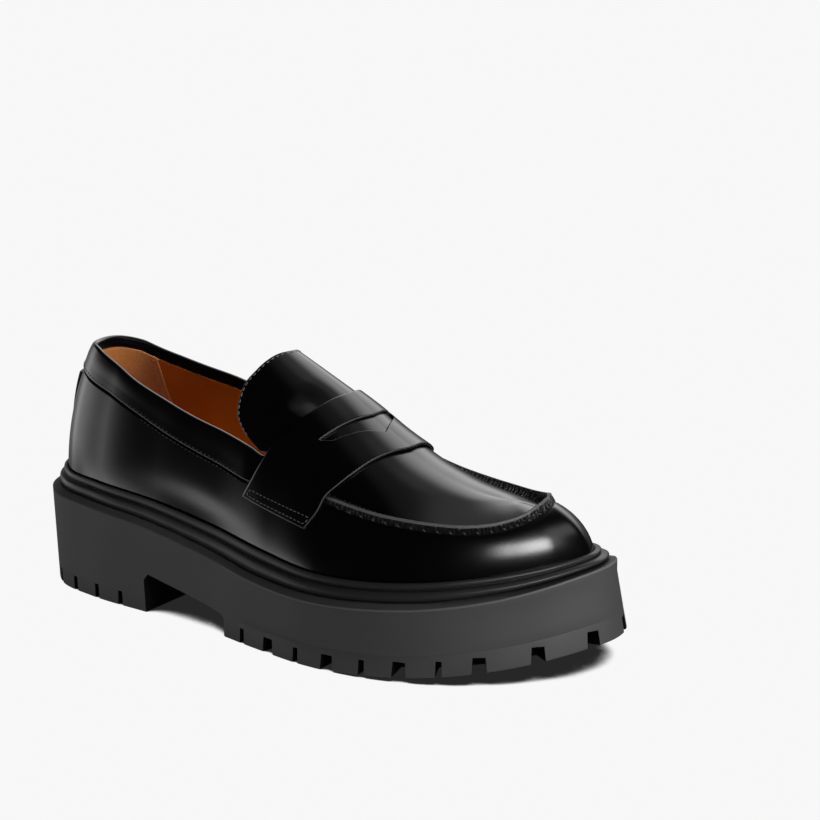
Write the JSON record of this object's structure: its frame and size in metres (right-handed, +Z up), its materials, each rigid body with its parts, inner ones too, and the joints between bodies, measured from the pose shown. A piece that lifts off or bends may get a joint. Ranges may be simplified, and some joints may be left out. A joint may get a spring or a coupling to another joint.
{
  "type": "platform penny loafer",
  "caption": "Right platform penny loafer: hollow leather upper with slotted saddle strap, free tongue and raised apron seam, on a ribbed rand and a thick lugged rubber sole with heel.",
  "frame": {"origin": "middle of the shoe's box at the floor under the sole", "axes": "+X from heel to toe, +Y towards the inner side of the foot, +Z up"},
  "size_m": [0.276, 0.1044, 0.1137],
  "materials": {
    "polished_leather": "smooth black leather, brushed to a high shine",
    "sole_rubber": "matte moulded dark grey rubber",
    "lining_leather": "tan lining leather, semi-matte"
  },
  "bodies": {
    "root": {"outsole": "sole_rubber", "welt": "sole_rubber", "insole": "lining_leather", "upper": "polished_leather", "tongue": "polished_leather", "saddle_strap": "polished_leather", "heel_strip": "polished_leather"}
  },
  "joints": []
}
